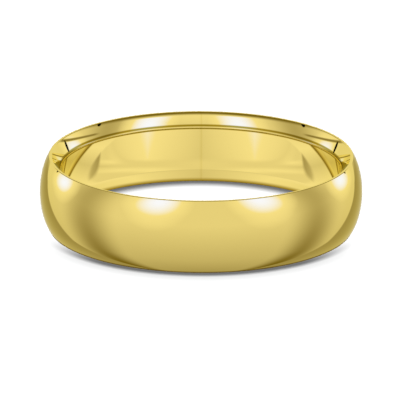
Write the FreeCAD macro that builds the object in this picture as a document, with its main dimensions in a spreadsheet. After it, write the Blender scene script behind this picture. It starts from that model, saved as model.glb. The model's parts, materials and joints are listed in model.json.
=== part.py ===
import FreeCAD, Part
import math
import os

import Sketcher
from FreeCAD import Rotation, Vector

# A plain half-round wedding band, lying flat: the finger hole's axis is +Z and the
# lower rim is at Z = 0. It is a strip of gold with a domed section, bent round until
# its ends meet at +Y, where a wafer of solder closes it.
# Lengths are in millimetres and angles in degrees.
DIMENSIONS = {
    "band_width": 5.0,  # rim to rim, along the finger
    "bore_radius": 9.475,  # ring size US 9, 18.95 mm across
    "outer_radius": 10.9,  # at the top of the dome, halfway between the rims
    "crown_radius": 5.9,  # section curve of the flatter middle of the dome
    "crown_half_height": 1.5,  # from mid height to where the crown meets a shoulder
    "shoulder_radius": 3.5,  # section curve of the dome next to each rim
    "comfort_depth": 1.045,  # how far below a rim the wall starts to leave the bore
    "blend_radius": 0.5,  # section curve that turns off the bore
    "blend_height": 0.25,  # how far along the finger that curve reaches
    "bevel_radius": 6.0,  # section curve of the wide bevel from there up to the rim
    "edge_rounding": 0.05,  # both corners of each narrow flat rim
    "joint_angle": 0.36,  # the solder: 0.06 mm of the bore's circumference
}
ORIGIN = -1
HORIZONTAL_AXIS = -1
START = 1
END = 2
CENTRE = 3


def make_sheet(doc):
    """Put every driving dimension in a spreadsheet, one alias to a row."""
    sheet = doc.addObject("Spreadsheet::Sheet", "Params")
    for row, (name, value) in enumerate(DIMENSIONS.items(), start=1):
        sheet.set(f"A{row}", name)
        sheet.set(f"B{row}", str(value))
        sheet.setAlias(f"B{row}", name)
    doc.recompute()
    return sheet


def origin_plane(body, role):
    """Return the body's own origin plane with this role."""
    planes = [f for f in body.Origin.OriginFeatures if f.Role == role]
    return planes[0]


def arc(centre_x, centre_y, radius, start, end):
    """Return a circular arc in the sketch plane, its angles in radians."""
    circle = Part.Circle(Vector(centre_x, centre_y, 0), Vector(0, 0, 1), radius)
    return Part.ArcOfCircle(circle, start, end)


def line(start_x, start_y, end_x, end_y):
    return Part.LineSegment(Vector(start_x, start_y, 0), Vector(end_x, end_y, 0))


def draw_section(sketch):
    """Draw the band's section, radius along x and height along y. Return its curves."""
    size = DIMENSIONS
    top = size["band_width"]
    middle = top / 2
    bore = size["bore_radius"]
    depth = size["comfort_depth"]
    blend = size["blend_radius"]
    bevel = size["bevel_radius"]
    blend_x = bore + blend
    blend_angle = math.asin(size["blend_height"] / blend)
    bevel_x = blend_x + (bevel - blend) * math.cos(blend_angle)
    bevel_drop = depth + (bevel - blend) * math.sin(blend_angle)
    bevel_angle = math.asin(bevel_drop / bevel)
    rim_in = bevel_x - bevel * math.cos(bevel_angle)

    crown_x = size["outer_radius"] - size["crown_radius"]
    crown_angle = math.asin(size["crown_half_height"] / size["crown_radius"])
    setback = size["crown_radius"] - size["shoulder_radius"]
    shoulder_x = crown_x + setback * math.cos(crown_angle)
    shoulder_rise = setback * math.sin(crown_angle)
    rim_angle = math.asin((middle - shoulder_rise) / size["shoulder_radius"])
    rim_out = shoulder_x + size["shoulder_radius"] * math.cos(rim_angle)

    turn = math.pi
    crown = size["crown_radius"]
    shoulder = size["shoulder_radius"]
    curves = {
        "bore": line(bore, depth, bore, top - depth),
        "top_blend": arc(blend_x, top - depth, blend, turn - blend_angle, turn),
        "top_bevel": arc(
            bevel_x, top - bevel_drop, bevel, turn - bevel_angle, turn - blend_angle
        ),
        "top_rim": line(rim_in, top, rim_out, top),
        "top_shoulder": arc(
            shoulder_x, middle + shoulder_rise, shoulder, crown_angle, rim_angle
        ),
        "crown": arc(crown_x, middle, crown, -crown_angle, crown_angle),
        "low_shoulder": arc(
            shoulder_x, middle - shoulder_rise, shoulder, -rim_angle, -crown_angle
        ),
        "low_rim": line(rim_out, 0, rim_in, 0),
        "low_bevel": arc(
            bevel_x, bevel_drop, bevel, turn + blend_angle, turn + bevel_angle
        ),
        "low_blend": arc(blend_x, depth, blend, turn, turn + blend_angle),
    }
    return {name: sketch.addGeometry(curve, False) for name, curve in curves.items()}


def join_section(sketch, curve):
    """Join the curves: smooth from bevel to bevel and over the dome, a corner at each rim."""
    smooth = [
        ("bore", END, "top_blend", END),
        ("top_blend", START, "top_bevel", END),
        ("bore", START, "low_blend", START),
        ("low_blend", END, "low_bevel", START),
        ("top_shoulder", START, "crown", END),
        ("crown", START, "low_shoulder", END),
    ]
    corners = [
        ("top_bevel", START, "top_rim", START),
        ("top_rim", END, "top_shoulder", END),
        ("low_shoulder", START, "low_rim", START),
        ("low_rim", END, "low_bevel", END),
    ]
    for kind, joins in (("Tangent", smooth), ("Coincident", corners)):
        for first, at_first, second, at_second in joins:
            joint = (curve[first], at_first, curve[second], at_second)
            sketch.addConstraint(Sketcher.Constraint(kind, *joint))


def round_corners(sketch, curve):
    """Round both corners of each rim. Return the small arcs."""
    corners = [
        ("top_bevel", "top_rim"),
        ("top_rim", "top_shoulder"),
        ("low_shoulder", "low_rim"),
        ("low_rim", "low_bevel"),
    ]
    rounds = []
    for pair in corners:
        first, second = (curve[name] for name in pair)
        near = [middle_of(sketch.Geometry[index]) for index in (first, second)]
        rounds.append(len(sketch.Geometry))
        sketch.fillet(first, second, *near, DIMENSIONS["edge_rounding"], True, False)
    return rounds


def middle_of(piece):
    return piece.value((piece.FirstParameter + piece.LastParameter) / 2)


def level_section(sketch, curve):
    """Stand the bore upright, lay both rims level and put the lower one at Z = 0."""
    sketch.addConstraint(Sketcher.Constraint("Vertical", curve["bore"]))
    sketch.addConstraint(Sketcher.Constraint("Horizontal", curve["top_rim"]))
    sketch.addConstraint(Sketcher.Constraint("Horizontal", curve["low_rim"]))
    foot = (curve["low_rim"], START, HORIZONTAL_AXIS)
    sketch.addConstraint(Sketcher.Constraint("PointOnObject", *foot))


def size_section(sketch, curve, rounds):
    """Give the section its dimensions, each bound to the spreadsheet."""
    size = DIMENSIONS
    origin = (ORIGIN, START)
    bore_low = (curve["bore"], START)
    bore_top = (curve["bore"], END)
    blend_top = (curve["top_blend"], START)
    blend_low = (curve["low_blend"], END)
    rim_top = (curve["top_rim"], START)
    crown_low = (curve["crown"], START)
    crown_top = (curve["crown"], END)
    crown_centre = (curve["crown"], CENTRE)
    named = [
        ("Radius", (curve["top_blend"],), "blend_radius"),
        ("Radius", (curve["low_blend"],), "blend_radius"),
        ("Radius", (curve["top_bevel"],), "bevel_radius"),
        ("Radius", (curve["low_bevel"],), "bevel_radius"),
        ("Radius", (curve["top_shoulder"],), "shoulder_radius"),
        ("Radius", (curve["low_shoulder"],), "shoulder_radius"),
        ("Radius", (curve["crown"],), "crown_radius"),
        ("DistanceX", origin + bore_low, "bore_radius"),
        ("DistanceY", origin + bore_low, "comfort_depth"),
        ("DistanceY", bore_top + rim_top, "comfort_depth"),
        ("DistanceY", bore_top + blend_top, "blend_height"),
        ("DistanceY", blend_low + bore_low, "blend_height"),
        ("DistanceY", origin + rim_top, "band_width"),
        ("DistanceY", crown_low + crown_centre, "crown_half_height"),
        ("DistanceY", crown_centre + crown_top, "crown_half_height"),
    ]
    named += [("Radius", (index,), "edge_rounding") for index in rounds]
    driven = [(kind, at, size[name], f"Params.{name}") for kind, at, name in named]
    crown_x = size["outer_radius"] - size["crown_radius"]
    crown_x_expression = "Params.outer_radius - Params.crown_radius"
    driven.append(("DistanceX", origin + crown_centre, crown_x, crown_x_expression))
    middle = size["band_width"] / 2
    driven.append(("DistanceY", origin + crown_centre, middle, "Params.band_width / 2"))
    for kind, at, value, expression in driven:
        index = sketch.addConstraint(Sketcher.Constraint(kind, *at, value))
        sketch.setExpression(f"Constraints[{index}]", expression)


def make_ring_segment(doc, name, sweep, turned):
    """Sweep the section round the finger hole, centred on +X and then turned about Z."""
    body = doc.addObject("PartDesign::Body", name)
    body.Label = name
    body.Placement = FreeCAD.Placement(Vector(0, 0, 0), Rotation(Vector(0, 0, 1), turned))

    sketch = body.newObject("Sketcher::SketchObject", f"{name}_section")
    sketch.AttachmentSupport = [(origin_plane(body, "XZ_Plane"), "")]
    sketch.MapMode = "FlatFace"
    doc.recompute()
    curve = draw_section(sketch)
    join_section(sketch, curve)
    rounds = round_corners(sketch, curve)
    level_section(sketch, curve)
    size_section(sketch, curve, rounds)
    doc.recompute()

    ring = body.newObject("PartDesign::Revolution", f"{name}_sweep")
    ring.Profile = sketch
    ring.ReferenceAxis = (sketch, ["V_Axis"])
    ring.Midplane = True
    ring.setExpression("Angle", sweep)
    doc.recompute()
    return body


def check(doc, bodies):
    """Stop on any object that failed to build and on any shape that is not sound."""
    for item in doc.Objects:
        if "Invalid" in item.State or "Error" in item.State:
            raise RuntimeError(f"{item.Label} did not build: {item.State}")
        if item.isDerivedFrom("Sketcher::SketchObject") and not item.FullyConstrained:
            raise RuntimeError(f"{item.Label} is not fully constrained")
    for body in bodies:
        if body.Shape.isNull() or not body.Shape.isValid():
            raise RuntimeError(f"{body.Label} is not a sound solid")


def main():
    doc = FreeCAD.newDocument("wedding_band")
    make_sheet(doc)
    bodies = [
        make_ring_segment(doc, "band", "360 - Params.joint_angle", -90),
        make_ring_segment(doc, "solder_joint", "Params.joint_angle", 90),
    ]
    doc.recompute()
    check(doc, bodies)
    os.makedirs("parts", exist_ok=True)
    for body in bodies:
        body.Shape.exportStep(f"parts/{body.Label}.step")


main()
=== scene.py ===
import json
import math

import bpy
from mathutils import Matrix, Vector


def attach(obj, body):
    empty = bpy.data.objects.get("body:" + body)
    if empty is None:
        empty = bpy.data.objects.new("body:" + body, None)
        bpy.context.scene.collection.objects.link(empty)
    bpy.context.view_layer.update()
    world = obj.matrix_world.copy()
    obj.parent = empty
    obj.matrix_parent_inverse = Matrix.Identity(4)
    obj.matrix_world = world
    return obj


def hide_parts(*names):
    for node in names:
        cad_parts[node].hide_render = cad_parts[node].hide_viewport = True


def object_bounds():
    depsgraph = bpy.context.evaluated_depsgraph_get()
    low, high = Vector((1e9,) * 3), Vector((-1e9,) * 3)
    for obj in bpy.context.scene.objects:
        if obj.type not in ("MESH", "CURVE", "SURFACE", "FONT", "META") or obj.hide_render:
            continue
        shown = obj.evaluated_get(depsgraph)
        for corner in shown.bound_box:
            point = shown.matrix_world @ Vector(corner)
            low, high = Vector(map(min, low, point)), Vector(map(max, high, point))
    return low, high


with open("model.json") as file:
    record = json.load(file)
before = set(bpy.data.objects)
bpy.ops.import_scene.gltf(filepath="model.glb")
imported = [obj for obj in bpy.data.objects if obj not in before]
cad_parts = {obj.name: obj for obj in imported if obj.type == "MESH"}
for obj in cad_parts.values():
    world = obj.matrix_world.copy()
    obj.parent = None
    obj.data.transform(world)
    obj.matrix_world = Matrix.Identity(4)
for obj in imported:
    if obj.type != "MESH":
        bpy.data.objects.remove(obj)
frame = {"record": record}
cad_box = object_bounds()
MM = 0.001

# ---------------------------------------------------------------- the band's section
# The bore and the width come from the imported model. The rest are the section's curves.
finger_bore = next(m for m in frame["record"]["mounts"] if m["name"] == "finger_bore")
BORE_RADIUS = finger_bore["dims"]["r_mm"] * MM
WIDTH = cad_box[1].z - cad_box[0].z
WALL = 1.425 * MM
CROWN_RADIUS = 5.9 * MM
CROWN_HALF_HEIGHT = 1.5 * MM
SHOULDER_RADIUS = 3.5 * MM
# the comfort fit turns off the bore on a small blend and runs up to the rim on a wide bevel
BLEND_RADIUS = 0.5 * MM
BLEND_ANGLE = math.radians(30)
BEVEL_RADIUS = 6.0 * MM
COMFORT_DEPTH = 1.045 * MM
EDGE_ROUNDING = 0.05 * MM
JOINT_ANGLE = math.radians(0.36)
JOINT_AZIMUTH = math.radians(90)
BAND_STEPS = 600
JOINT_STEPS = 2


def arc_points(centre, radius, start, end, steps):
    """Points along a circular arc, each with its outward normal. Leaves out the last."""
    points = []
    for i in range(steps):
        angle = start + (end - start) * i / steps
        out = (math.cos(angle), math.sin(angle))
        points.append((centre[0] + radius * out[0], centre[1] + radius * out[1], *out))
    return points


def upper_section():
    """The section's upper half, from the top of the dome round to the middle of the bore.
    Each point is (radius, height above mid height, normal outwards, normal upwards)."""
    rim = WIDTH / 2
    crown_centre = (BORE_RADIUS + WALL - CROWN_RADIUS, 0.0)
    crown_end = math.asin(CROWN_HALF_HEIGHT / CROWN_RADIUS)
    setback = CROWN_RADIUS - SHOULDER_RADIUS
    shoulder_centre = (
        crown_centre[0] + setback * math.cos(crown_end),
        setback * math.sin(crown_end),
    )
    blend_centre = (BORE_RADIUS + BLEND_RADIUS, rim - COMFORT_DEPTH)
    blend_end = math.pi - BLEND_ANGLE
    growth = BEVEL_RADIUS - BLEND_RADIUS
    bevel_centre = (
        blend_centre[0] - growth * math.cos(blend_end),
        blend_centre[1] - growth * math.sin(blend_end),
    )

    # each rounding's centre lies one rounding below the rim and touches the curve beside it
    round_height = rim - EDGE_ROUNDING
    shoulder_reach = SHOULDER_RADIUS - EDGE_ROUNDING
    shoulder_end = math.asin((round_height - shoulder_centre[1]) / shoulder_reach)
    outer_round = (
        shoulder_centre[0] + shoulder_reach * math.cos(shoulder_end), round_height,
    )
    bevel_reach = BEVEL_RADIUS - EDGE_ROUNDING
    bevel_start = math.pi - math.asin((round_height - bevel_centre[1]) / bevel_reach)
    inner_round = (bevel_centre[0] + bevel_reach * math.cos(bevel_start), round_height)

    upright = math.pi / 2
    points = arc_points(crown_centre, CROWN_RADIUS, 0, crown_end, 18)
    points += arc_points(shoulder_centre, SHOULDER_RADIUS, crown_end, shoulder_end, 14)
    points += arc_points(outer_round, EDGE_ROUNDING, shoulder_end, upright, 5)
    points.append((outer_round[0], rim, 0.0, 1.0))
    points += arc_points(inner_round, EDGE_ROUNDING, upright, bevel_start, 4)
    points += arc_points(bevel_centre, BEVEL_RADIUS, bevel_start, blend_end, 16)
    points += arc_points(blend_centre, BLEND_RADIUS, blend_end, math.pi, 12)
    bore_steps = 8
    for i in range(bore_steps):
        height = (rim - COMFORT_DEPTH) * (1 - i / bore_steps)
        points.append((BORE_RADIUS, height, -1.0, 0.0))
    return points


def whole_section():
    """The closed section: the upper half, then its mirror image back to the dome."""
    upper = upper_section()
    middle_of_bore = (BORE_RADIUS, 0.0, -1.0, 0.0)
    lower = [(r, -h, out, -up) for r, h, out, up in reversed(upper[1:])]
    return [*upper, middle_of_bore, *lower]


def sweep(name, start, angle, steps):
    """Sweep the section round the finger hole from one azimuth through an angle."""
    section = whole_section()
    count = len(section)
    middle = (cad_box[0].z + cad_box[1].z) / 2
    vertices, normals = [], []
    for i in range(steps + 1):
        azimuth = start + angle * i / steps
        across, along = math.cos(azimuth), math.sin(azimuth)
        for radius, height, out, up in section:
            vertices.append((radius * across, radius * along, middle + height))
            normals.append(Vector((out * across, out * along, up)))
    faces, corner_normals = [], []
    for i in range(steps):
        for j in range(count):
            after = (j + 1) % count
            quad = (
                i * count + j, (i + 1) * count + j,
                (i + 1) * count + after, i * count + after,
            )
            faces.append(quad)
            corner_normals += [normals[v] for v in quad]
    for ring, turn in ((0, -1), (steps, 1)):
        # each cut end has its own vertices, so the polished surface stays smooth up to it
        azimuth = start + angle * ring / steps
        facing = Vector((-math.sin(azimuth), math.cos(azimuth), 0)) * turn
        cap = [len(vertices) + j for j in range(count)]
        vertices += vertices[ring * count:(ring + 1) * count]
        faces.append(tuple(cap if turn > 0 else reversed(cap)))
        corner_normals += [facing] * count

    mesh = bpy.data.meshes.new(name)
    mesh.from_pydata(vertices, [], faces)
    mesh.polygons.foreach_set("use_smooth", [True] * len(faces))
    mesh.normals_split_custom_set(corner_normals)
    piece = bpy.data.objects.new(name, mesh)
    bpy.context.scene.collection.objects.link(piece)
    return piece


# ---------------------------------------------------------------- node helpers
def math_node(tree, operation, *values):
    """Add a Math node. Each value is a number or another node's output."""
    node = tree.nodes.new("ShaderNodeMath")
    node.operation = operation
    for socket, value in zip(node.inputs, values):
        if isinstance(value, bpy.types.NodeSocket):
            tree.links.new(value, socket)
        else:
            socket.default_value = value
    return node.outputs[0]


def smooth_step(tree, value, low, high):
    """0 below low, 1 above high and a smooth rise between, or a fall if low is above high."""
    node = tree.nodes.new("ShaderNodeMapRange")
    node.interpolation_type = "SMOOTHSTEP"
    tree.links.new(value, node.inputs["Value"])
    node.inputs["From Min"].default_value = min(low, high)
    node.inputs["From Max"].default_value = max(low, high)
    node.inputs["To Min"].default_value = 0.0 if low < high else 1.0
    node.inputs["To Max"].default_value = 1.0 if low < high else 0.0
    return node.outputs["Result"]


def mix_colours(tree, factor, first, second):
    node = tree.nodes.new("ShaderNodeMix")
    node.data_type = "RGBA"
    for key, value in ((0, factor), (6, first), (7, second)):
        if isinstance(value, bpy.types.NodeSocket):
            tree.links.new(value, node.inputs[key])
        else:
            node.inputs[key].default_value = value
    return node.outputs[2]


def new_material(name):
    material = bpy.data.materials.new(name)
    material.use_nodes = True
    material.node_tree.nodes.clear()
    return material, material.node_tree


# ---------------------------------------------------------------- gold
GOLD = (0.93, 0.74, 0.23, 1)
GOLD_WORKED = (0.885, 0.69, 0.195, 1)
SOLDER = (0.86, 0.67, 0.18, 1)
SECOND_MIRROR = (0.87, 0.82, 0.62, 1)
# the colour of the painted dark lines that stand in for reflections along the blend
PAINTED_LINE_COLOUR = (0.36, 0.23, 0.0, 1)
# painted dark lines along both edges of the blend, standing in for the dark reflections
# there, as height from the middle, half width and strength
PAINTED_DARK_LINES = (
    (1.69 * MM, 0.10 * MM, 0.95),
    (1.48 * MM, 0.06 * MM, 0.95),
)
# they are drawn on the bore only, within this distance of its axis
PAINTED_LINE_LIMIT = BORE_RADIUS + 0.4 * MM
# the metal is worked this far each side of the joint
WORKED_HALF_WIDTH = 0.2 * MM
# the polish leaves a faint haze and hair-fine swirls
HAZE_SCALE = 0.4 / MM
HAZE_DARKENING = 0.12
SWIRL_SCALE = 6 / MM
SWIRL_DEPTH = 0.002 * MM
SMOOTHEST = 0.015
ROUGHEST = 0.04
EDGE_TINT = (1.0, 0.95, 0.6, 1)
# what the metal gives off after the third reflection, so that no reflection ends black
DEEP_GLOW = (0.12, 0.12, 0.08, 1)


def joint_nearness(tree, place):
    """1 on the solder joint at the back and 0 beyond the worked metal beside it."""
    off_joint = math_node(tree, "ABSOLUTE", place.outputs["X"])
    beside_joint = smooth_step(tree, off_joint, WORKED_HALF_WIDTH, 0.03 * MM)
    behind = smooth_step(tree, place.outputs["Y"], 0, BORE_RADIUS)
    return math_node(tree, "MULTIPLY", beside_joint, behind)


def painted_reflection_lines(tree, place):
    """1 on the painted dark lines round the upper edge of the bore, which stand in for the
    dark reflections there, and 0 elsewhere.
    """
    above_middle = math_node(tree, "SUBTRACT", place.outputs["Z"], WIDTH / 2)
    painted_line = 0.0
    for height, half, strength in PAINTED_DARK_LINES:
        off_line = math_node(tree, "SUBTRACT", above_middle, height)
        off_line = math_node(tree, "ABSOLUTE", off_line)
        line = smooth_step(tree, off_line, half, half / 3)
        line = math_node(tree, "MULTIPLY", line, strength)
        painted_line = math_node(tree, "MAXIMUM", line, painted_line)
    across = math_node(tree, "MULTIPLY", place.outputs["X"], place.outputs["X"])
    squared = math_node(tree, "MULTIPLY_ADD", place.outputs["Y"], place.outputs["Y"], across)
    off_axis = math_node(tree, "SQRT", squared)
    is_bore = smooth_step(tree, off_axis, PAINTED_LINE_LIMIT, PAINTED_LINE_LIMIT - 0.1 * MM)
    return math_node(tree, "MULTIPLY", painted_line, is_bore)


def swirl_normal(tree, place):
    """The bump that polishing leaves."""
    swirls = tree.nodes.new("ShaderNodeTexNoise")
    swirls.inputs["Scale"].default_value = SWIRL_SCALE
    swirls.inputs["Detail"].default_value = 4
    swirls.inputs["Distortion"].default_value = 1.5
    tree.links.new(place, swirls.inputs["Vector"])
    bump = tree.nodes.new("ShaderNodeBump")
    bump.inputs["Strength"].default_value = 0.02
    bump.inputs["Distance"].default_value = SWIRL_DEPTH
    tree.links.new(swirls.outputs["Fac"], bump.inputs["Height"])
    return bump.outputs["Normal"]


def polished_gold(name, colour, worked):
    """Mirror-polished gold, a shade darker beside the solder joint. Gold that is itself seen
    in gold stays pale, so the inside doesn't turn orange."""
    material, tree = new_material(name)
    new = tree.nodes.new
    link = tree.links.new
    place = new("ShaderNodeTexCoord").outputs["Object"]
    apart = new("ShaderNodeSeparateXYZ")
    link(place, apart.inputs[0])

    haze = new("ShaderNodeTexNoise")
    haze.inputs["Scale"].default_value = HAZE_SCALE
    haze.inputs["Detail"].default_value = 3
    link(place, haze.inputs["Vector"])
    roughness = new("ShaderNodeMapRange")
    roughness.inputs["To Min"].default_value = SMOOTHEST
    roughness.inputs["To Max"].default_value = ROUGHEST
    link(haze.outputs["Fac"], roughness.inputs["Value"])

    haze_tone = math_node(tree, "MULTIPLY", haze.outputs["Fac"], HAZE_DARKENING)
    joint_tone = math_node(tree, "MULTIPLY", joint_nearness(tree, apart), 0.5)
    tone = math_node(tree, "MAXIMUM", haze_tone, joint_tone)
    shade = mix_colours(tree, tone, colour, worked)
    # painted reflection: dark lines along both edges of the blend
    shade = mix_colours(tree, painted_reflection_lines(tree, apart), shade, PAINTED_LINE_COLOUR)
    rays = new("ShaderNodeLightPath")
    shade = mix_colours(tree, rays.outputs["Is Glossy Ray"], shade, SECOND_MIRROR)

    metal = new("ShaderNodeBsdfPrincipled")
    metal.inputs["Metallic"].default_value = 1.0
    metal.inputs["Specular Tint"].default_value = EDGE_TINT
    metal.inputs["Emission Color"].default_value = DEEP_GLOW
    link(shade, metal.inputs["Base Color"])
    link(roughness.outputs["Result"], metal.inputs["Roughness"])
    link(swirl_normal(tree, place), metal.inputs["Normal"])
    deep = smooth_step(tree, rays.outputs["Glossy Depth"], 2.4, 2.6)
    link(deep, metal.inputs["Emission Strength"])
    link(metal.outputs["BSDF"], new("ShaderNodeOutputMaterial").inputs["Surface"])
    return material


# ---------------------------------------------------------------- the two pieces
def finish_piece(piece, node, material):
    piece.data.materials.append(material)
    piece.visible_diffuse = False
    piece.visible_shadow = False
    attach(piece, "root")
    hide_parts(node)


def make_band():
    start = JOINT_AZIMUTH + JOINT_ANGLE / 2
    band = sweep("band_polished", start, 2 * math.pi - JOINT_ANGLE, BAND_STEPS)
    finish_piece(band, "band", polished_gold("gold", GOLD, GOLD_WORKED))


def make_solder_joint():
    start = JOINT_AZIMUTH - JOINT_ANGLE / 2
    joint = sweep("solder_joint_polished", start, JOINT_ANGLE, JOINT_STEPS)
    finish_piece(
        joint, "solder_joint", polished_gold("gold_solder", SOLDER, SOLDER)
    )


# ---------------------------------------------------------------- the studio
# Light is set as a tone from 0 to 1. Dim light is warm and full light is neutral. A lamp's
# own face is as blue as the gold is yellow, so the gold mirrors it as white.
DIM_LIGHT = (0.20, 0.16, 0.02)
FULL_LIGHT = (1.0, 1.0, 1.0)
LAMP_FACE = tuple(0.95 / channel for channel in GOLD[:3])
TONES = ((0.0, (0.0, 0.0, 0.0)), (0.5, DIM_LIGHT), (0.95, FULL_LIGHT), (1.0, LAMP_FACE))
BRIGHTEST = 5.0

# Directions are azimuth and elevation in degrees, with azimuth 0 towards the camera and
# positive to its right. The tent is even from the horizon up and dims straight down.
TENT_TONE = 0.87
TENT_BY_HEIGHT = ((-90, 0.6), (0, TENT_TONE), (90, TENT_TONE))
# each lamp as (azimuth, elevation), half its width and height, and how strong it is
LAMPS = (
    ((-35, 40), (30, 50), 1.0),
    ((50, 40), (30, 50), 1.0),
    ((-120, 10), (20, 20), 1.0),
    ((125, 10), (20, 20), 1.0),
    ((10, 65), (85, 20), 0.5),
)
# a soft dark flag stands upright at each side
FLAG_AZIMUTH = 90
FLAG_HALF_WIDTH = 30
FLAG_DEPTH = 0.2
# the floor behind the band lies in shade, from this azimuth on each side at the horizon
SHADE_AZIMUTH = 150
SHADE_FADE = 60
SHADE_TONE = 0.6
# the dim opening at the top of the tent, behind the band
OPENING_CENTRE = (180, 50)
OPENING_SIZE = (50, 30)
OPENING_TONE = 0.5
# the dark roof, whose edge sinks from the front to the sides
ROOF_EDGE = 60
ROOF_SOFTNESS = 4
ROOF_DROP = 35
ROOF_LOWEST_AZIMUTH = 130
ROOF_TONE = 0.5
# the thin seam below the roof at each side, and the small black gaps beside it
SEAM_START = (95, 30)
SEAM_END = (145, 13)
SEAM_FADE = 8
SEAM_HALF_WIDTH = 1.5
SEAM_TONE = 0.55
GAPS = (
    ((100, 38), (2, 2.5)),
    ((135, 12), (1.5, 5)),
)


def ramp(tree, factor, stops):
    """A colour ramp, given as (position, colour) pairs."""
    node = tree.nodes.new("ShaderNodeValToRGB")
    elements = node.color_ramp.elements
    while len(elements) < len(stops):
        elements.new(1.0)
    for element, (position, colour) in zip(elements, stops):
        element.position = position
        element.color = (*colour, 1)
    tree.links.new(factor, node.inputs["Fac"])
    return node.outputs["Color"]


def angle_ramp(tree, factor, half_turn, stops):
    """A grey ramp over angles from -half_turn to +half_turn degrees."""
    pairs = [(0.5 + angle / (2 * half_turn), (tone,) * 3) for angle, tone in stops]
    return ramp(tree, factor, pairs)


def tone_to_light(tree, tone):
    stops = [(at, tuple(c / BRIGHTEST for c in colour)) for at, colour in TONES]
    return ramp(tree, tone, stops)


def lamp_face(tree, azimuth, elevation, centre, size):
    """A soft oval lamp, bright in the middle. Angles are in degrees."""
    across = math_node(tree, "SUBTRACT", azimuth, centre[0])
    across = math_node(tree, "DIVIDE", across, size[0])
    upward = math_node(tree, "SUBTRACT", elevation, centre[1])
    upward = math_node(tree, "DIVIDE", upward, size[1])
    squared = math_node(tree, "MULTIPLY", across, across)
    squared = math_node(tree, "MULTIPLY_ADD", upward, upward, squared)
    left = math_node(tree, "SUBTRACT", 1.0, squared)
    return math_node(tree, "MAXIMUM", left, 0.0)


def grey(tone):
    return (tone, tone, tone, 1)


def add_shade_edge(tree, tone, azimuth, elevation):
    """The edge of the shaded floor runs further forward the steeper one looks down."""
    turned = math_node(tree, "ABSOLUTE", azimuth)
    edge = math_node(tree, "ADD", elevation, SHADE_AZIMUTH)
    beyond = math_node(tree, "SUBTRACT", turned, edge)
    begun = smooth_step(tree, beyond, 0, 3)
    left = smooth_step(tree, beyond, SHADE_FADE, 0)
    shade = math_node(tree, "MULTIPLY", begun, left)
    below_horizon = smooth_step(tree, elevation, 2, -6)
    shade = math_node(tree, "MULTIPLY", shade, below_horizon)
    return mix_colours(tree, shade, tone, grey(SHADE_TONE))


def add_flags(tree, tone, azimuth):
    """A dark upright flag at each side gives the polished dome its darker flanks."""
    turned = math_node(tree, "ABSOLUTE", azimuth)
    off_flag = math_node(tree, "SUBTRACT", turned, FLAG_AZIMUTH)
    off_flag = math_node(tree, "ABSOLUTE", off_flag)
    flag = smooth_step(tree, off_flag, FLAG_HALF_WIDTH, 0)
    return math_node(tree, "MULTIPLY_ADD", flag, -FLAG_DEPTH, tone)


def add_top_opening(tree, tone, azimuth, elevation):
    """The dim opening at the top of the tent behind the band."""
    turned = math_node(tree, "ABSOLUTE", azimuth)
    opening = lamp_face(tree, turned, elevation, OPENING_CENTRE, OPENING_SIZE)
    dim = smooth_step(tree, opening, 0.0, 0.35)
    return mix_colours(tree, dim, tone, grey(OPENING_TONE))


def add_lamps(tree, tone, azimuth, elevation):
    """Each lamp lifts the tent's tone towards full brightness."""
    for centre, size, strength in LAMPS:
        face = lamp_face(tree, azimuth, elevation, centre, size)
        face = math_node(tree, "MULTIPLY", face, strength)
        unlit = math_node(tree, "SUBTRACT", 1.0, tone)
        tone = math_node(tree, "MULTIPLY_ADD", unlit, face, tone)
    return tone


def add_roof(tree, tone, azimuth, elevation):
    """The roof is dark beyond its edge, which is lower at the sides."""
    turned = math_node(tree, "ABSOLUTE", azimuth)
    share = math_node(tree, "DIVIDE", turned, ROOF_LOWEST_AZIMUTH)
    share = math_node(tree, "MINIMUM", share, 1.0)
    squared = math_node(tree, "MULTIPLY", share, share)
    raised = math_node(tree, "MULTIPLY_ADD", squared, ROOF_DROP, elevation)
    roof = smooth_step(tree, raised, ROOF_EDGE - ROOF_SOFTNESS, ROOF_EDGE)
    return mix_colours(tree, roof, tone, grey(ROOF_TONE))


def first_reflection(tree):
    """1 for what one mirror shows and 0 for what is seen in a mirror by way of another."""
    rays = tree.nodes.new("ShaderNodeLightPath")
    return smooth_step(tree, rays.outputs["Glossy Depth"], 1.6, 1.4)


def add_seams(tree, tone, azimuth, elevation):
    """A thin seam runs down each side below the roof, with small black gaps beside it."""
    turned = math_node(tree, "ABSOLUTE", azimuth)
    slope = (SEAM_END[1] - SEAM_START[1]) / (SEAM_END[0] - SEAM_START[0])
    height_at_zero = SEAM_START[1] - slope * SEAM_START[0]
    seam = math_node(tree, "MULTIPLY_ADD", turned, slope, height_at_zero)
    off_seam = math_node(tree, "ABSOLUTE", math_node(tree, "SUBTRACT", elevation, seam))
    dark = smooth_step(tree, off_seam, SEAM_HALF_WIDTH, SEAM_HALF_WIDTH / 4)
    begun = smooth_step(tree, turned, SEAM_START[0], SEAM_START[0] + SEAM_FADE)
    left = smooth_step(tree, turned, SEAM_END[0], SEAM_END[0] - SEAM_FADE)
    dark = math_node(tree, "MULTIPLY", dark, math_node(tree, "MULTIPLY", begun, left))
    tone = mix_colours(tree, dark, tone, grey(SEAM_TONE))

    first_bounce = first_reflection(tree)
    for centre, size in GAPS:
        gap = lamp_face(tree, turned, elevation, centre, size)
        gap = math_node(tree, "MULTIPLY", smooth_step(tree, gap, 0.0, 0.5), first_bounce)
        tone = mix_colours(tree, gap, tone, grey(0))
    return tone


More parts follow.
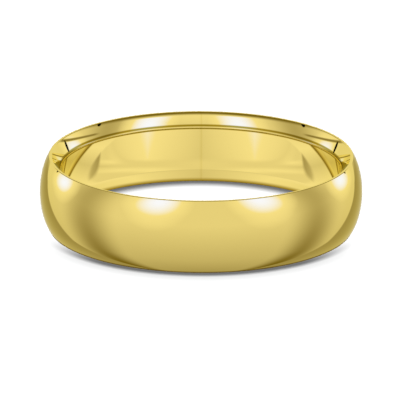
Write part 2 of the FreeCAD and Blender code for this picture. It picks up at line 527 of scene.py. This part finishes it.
def make_world():
    """A pale light tent with a soft lamp at each front quarter and a small one each side."""
    world = bpy.data.worlds.new("studio")
    bpy.context.scene.world = world
    world.use_nodes = True
    world.cycles_visibility.diffuse = False
    tree = world.node_tree
    tree.nodes.clear()
    direction = tree.nodes.new("ShaderNodeSeparateXYZ")
    place = tree.nodes.new("ShaderNodeTexCoord")
    tree.links.new(place.outputs["Generated"], direction.inputs[0])
    towards_front = math_node(tree, "MULTIPLY", direction.outputs["Y"], -1.0)
    azimuth = math_node(tree, "ARCTAN2", direction.outputs["X"], towards_front)
    azimuth = math_node(tree, "MULTIPLY", azimuth, 180 / math.pi)
    elevation = math_node(tree, "ARCSINE", direction.outputs["Z"])
    elevation = math_node(tree, "MULTIPLY", elevation, 180 / math.pi)
    upward = math_node(tree, "MULTIPLY_ADD", elevation, 1 / 180, 0.5)
    tone = angle_ramp(tree, upward, 90, TENT_BY_HEIGHT)
    tone = add_flags(tree, tone, azimuth)
    tone = add_shade_edge(tree, tone, azimuth, elevation)
    tone = add_top_opening(tree, tone, azimuth, elevation)
    tone = add_lamps(tree, tone, azimuth, elevation)
    tone = add_roof(tree, tone, azimuth, elevation)
    tone = add_seams(tree, tone, azimuth, elevation)
    light = tone_to_light(tree, tone)

    rays = tree.nodes.new("ShaderNodeLightPath")
    light = mix_colours(tree, rays.outputs["Is Camera Ray"], light, grey(1 / BRIGHTEST))
    background = tree.nodes.new("ShaderNodeBackground")
    background.inputs["Strength"].default_value = BRIGHTEST
    tree.links.new(light, background.inputs["Color"])
    output = tree.nodes.new("ShaderNodeOutputWorld")
    tree.links.new(background.outputs[0], output.inputs["Surface"])


OVERHEAD_HEIGHT = 300 * MM
OVERHEAD_SIZE = 300 * MM
OVERHEAD_POWER = 1.65


def make_light():
    """A large square light straight above the band. It lights the floor, not the mirror."""
    data = bpy.data.lights.new("overhead", "AREA")
    data.size = OVERHEAD_SIZE
    data.energy = OVERHEAD_POWER
    light = bpy.data.objects.new("overhead", data)
    bpy.context.scene.collection.objects.link(light)
    light.location.z = OVERHEAD_HEIGHT
    light.visible_glossy = False
    light.visible_camera = False


def flat_square(name, half):
    mesh = bpy.data.meshes.new(name)
    corners = [(-half, -half, 0), (half, -half, 0), (half, half, 0), (-half, half, 0)]
    mesh.from_pydata(corners, [], [(0, 1, 2, 3)])
    square = bpy.data.objects.new(name, mesh)
    bpy.context.scene.collection.objects.link(square)
    square.location.z = cad_box[0].z
    return square


def distance_from_axis(tree):
    """How far a point of the floor is from the middle of the band."""
    place = tree.nodes.new("ShaderNodeTexCoord")
    length = tree.nodes.new("ShaderNodeVectorMath")
    length.operation = "LENGTH"
    tree.links.new(place.outputs["Object"], length.inputs[0])
    return length.outputs["Value"]


# the contact shade on the floor fades out between these distances from the band's axis
OUTER_RADIUS = BORE_RADIUS + WALL
CLOSE_SHADE = (OUTER_RADIUS + 0.6 * MM, OUTER_RADIUS - 0.4 * MM)
FAR_SHADE = (OUTER_RADIUS + 2.0 * MM, OUTER_RADIUS - 0.4 * MM)
FAR_SHARE = 0.35
INNER_SHADE = (BORE_RADIUS - 1.0 * MM, BORE_RADIUS + 0.5 * MM)
FLOOR_HALF = 80 * MM
FLOOR_WHITE = 0.8
FLOOR_SHADED = 0.12


def make_floor():
    """A matt white floor that only the camera sees, darkest before and behind the band."""
    floor = flat_square("floor", FLOOR_HALF)
    material, tree = new_material("matt_white")
    new = tree.nodes.new
    link = tree.links.new
    radius = distance_from_axis(tree)
    close = smooth_step(tree, radius, *CLOSE_SHADE)
    far = math_node(tree, "MULTIPLY", smooth_step(tree, radius, *FAR_SHADE), FAR_SHARE)
    outside = math_node(tree, "MAXIMUM", close, far)
    inside = smooth_step(tree, radius, *INNER_SHADE)
    shade = math_node(tree, "MULTIPLY", outside, inside)
    apart = new("ShaderNodeSeparateXYZ")
    link(new("ShaderNodeTexCoord").outputs["Object"], apart.inputs[0])
    ahead = math_node(tree, "DIVIDE", math_node(tree, "ABSOLUTE", apart.outputs["Y"]), radius)
    shade = math_node(tree, "MULTIPLY", shade, smooth_step(tree, ahead, 0.2, 0.8))
    colour = mix_colours(tree, shade, grey(FLOOR_WHITE), grey(FLOOR_SHADED))
    paint = new("ShaderNodeBsdfDiffuse")
    link(colour, paint.inputs["Color"])
    link(paint.outputs[0], new("ShaderNodeOutputMaterial").inputs["Surface"])
    floor.data.materials.append(material)
    floor.visible_glossy = False
    floor.visible_shadow = False


# The back of the bore is a hollow mirror, so each upright strip of it shows one ray of the
# floor through this focus. A ray's tone goes by its share of the slope from ahead to aside.
FOCUS = 5.1 * MM
FAN = ((0.0, 0.82), (0.5, 0.95), (1.0, TENT_TONE))
SHARE_AT_WALL = 1.1
RISE_AHEAD = 0.003 / MM
# beside the focus and behind it the fan gives way to the tent's own tone
NEAR_FOCUS = (2.0 * MM, 0.4 * MM)
FLANK_ASIDE = (0.9 * MM, 1.9 * MM)
FLANK_BEHIND = (-0.3 * MM, -1.2 * MM)
# the floor inside the band: its edge at the wall, and where the tent takes over behind
FLOOR_EDGE = (7.4 * MM, 7.8 * MM)
FLOOR_BACK = (7.1 * MM, 6.8 * MM)
UNDER_RIM = (10.1 * MM, 10.0 * MM)


def tone_inside(tree, place, radius):
    """The tone of the floor inside the band, and how far it hides the tent."""
    apart = tree.nodes.new("ShaderNodeSeparateXYZ")
    tree.links.new(place, apart.inputs[0])
    aside = math_node(tree, "ABSOLUTE", apart.outputs["X"])
    ahead = math_node(tree, "SUBTRACT", FOCUS, apart.outputs["Y"])
    from_focus = math_node(tree, "ADD", aside, math_node(tree, "ABSOLUTE", ahead))
    share = math_node(tree, "DIVIDE", aside, from_focus)
    share_at_wall = math_node(tree, "MULTIPLY", aside, SHARE_AT_WALL / BORE_RADIUS)
    at_wall = smooth_step(tree, radius, *FLOOR_EDGE)
    share = mix_colours(tree, at_wall, share, share_at_wall)
    tone = angle_ramp(tree, math_node(tree, "MULTIPLY_ADD", share, 0.5, 0.5), 1, FAN)
    tone = math_node(tree, "MULTIPLY_ADD", ahead, RISE_AHEAD, tone)

    near_focus = smooth_step(tree, from_focus, *NEAR_FOCUS)
    tone = mix_colours(tree, near_focus, tone, grey(TENT_TONE))
    off_wall = math_node(tree, "SUBTRACT", 1.0, at_wall)
    flank = math_node(tree, "MULTIPLY", off_wall, smooth_step(tree, aside, *FLANK_ASIDE))
    flank = math_node(tree, "MULTIPLY", flank, smooth_step(tree, ahead, *FLANK_BEHIND))
    tone = mix_colours(tree, flank, tone, grey(TENT_TONE))

    before = smooth_step(tree, apart.outputs["Y"], *FLOOR_BACK)
    cover = math_node(tree, "MAXIMUM", before, at_wall)
    cover = math_node(tree, "MULTIPLY", cover, smooth_step(tree, radius, *UNDER_RIM))
    return tone, cover


# the line where the rim touches the floor: its radius, what it lets through and its own light
RIM_RADIUS = 10.2 * MM
MIRRORED_FLOOR_HALF = 30 * MM
CONTACT_SHADE = (0.35, 0.30, 0.15, 1)
CONTACT_LIGHT = (0.08, 0.065, 0.015, 1)


def make_mirrored_floor():
    """What the polished metal sees of the floor: a dark line where the band touches it and
    the light that the band gathers inside. Everything else is the tent seen through it."""
    floor = flat_square("mirrored_floor", MIRRORED_FLOOR_HALF)
    material, tree = new_material("mirrored_floor")
    new = tree.nodes.new
    link = tree.links.new
    place = new("ShaderNodeTexCoord").outputs["Object"]
    radius = distance_from_axis(tree)
    apart = new("ShaderNodeSeparateXYZ")
    link(place, apart.inputs[0])
    behind = smooth_step(tree, apart.outputs["Y"], 1 * MM, 4 * MM)
    wide = smooth_step(tree, radius, RIM_RADIUS - 0.45 * MM, RIM_RADIUS - 0.15 * MM)
    wide = math_node(tree, "MULTIPLY", wide, behind)
    narrow = smooth_step(tree, radius, RIM_RADIUS - 0.05 * MM, RIM_RADIUS + 0.05 * MM)
    near = math_node(tree, "MAXIMUM", wide, narrow)
    within = smooth_step(tree, radius, RIM_RADIUS + 0.18 * MM, RIM_RADIUS + 0.10 * MM)
    near = math_node(tree, "MULTIPLY", near, within)
    tone, cover = tone_inside(tree, place, radius)

    see_through = new("ShaderNodeBsdfTransparent")
    link(mix_colours(tree, near, (1, 1, 1, 1), CONTACT_SHADE), see_through.inputs["Color"])
    shine = new("ShaderNodeEmission")
    light = mix_colours(tree, near, tone_to_light(tree, tone), CONTACT_LIGHT)
    link(light, shine.inputs["Color"])
    shine.inputs["Strength"].default_value = BRIGHTEST
    mixed = new("ShaderNodeMixShader")
    link(cover, mixed.inputs[0])
    link(see_through.outputs[0], mixed.inputs[1])
    link(shine.outputs[0], mixed.inputs[2])
    link(mixed.outputs[0], new("ShaderNodeOutputMaterial").inputs["Surface"])
    floor.data.materials.append(material)
    floor.visible_camera = False
    floor.visible_diffuse = False
    floor.visible_shadow = False


# ---------------------------------------------------------------- the camera
CAMERA_ELEVATION = math.radians(17.6)
CAMERA_ROLL = math.radians(-0.23)
CAMERA_DISTANCE = 520 * MM
CAMERA_LENS = 692
AIM_RIGHT = -0.068 * MM
AIM_UP = -0.636 * MM


def make_camera():
    data = bpy.data.cameras.new("camera")
    data.lens = CAMERA_LENS
    data.sensor_width = 36
    data.clip_start = 10 * MM
    data.clip_end = 10
    camera = bpy.data.objects.new("camera", data)
    bpy.context.scene.collection.objects.link(camera)
    centre = Vector((0, 0, (cad_box[0].z + cad_box[1].z) / 2))
    back = Vector((0, -math.cos(CAMERA_ELEVATION), math.sin(CAMERA_ELEVATION)))
    up = Vector((0, math.sin(CAMERA_ELEVATION), math.cos(CAMERA_ELEVATION)))
    target = centre + Vector((AIM_RIGHT, 0, 0)) + up * AIM_UP
    roll = Matrix.Rotation(-CAMERA_ROLL, 4, back)
    turn = back.to_track_quat("Z", "Y").to_matrix().to_4x4()
    camera.matrix_world = Matrix.Translation(target + back * CAMERA_DISTANCE) @ roll @ turn
    bpy.context.scene.camera = camera


make_band()
make_solder_joint()
make_world()
make_light()
make_floor()
make_mirrored_floor()
make_camera()
bpy.context.scene.view_settings.view_transform = "Standard"
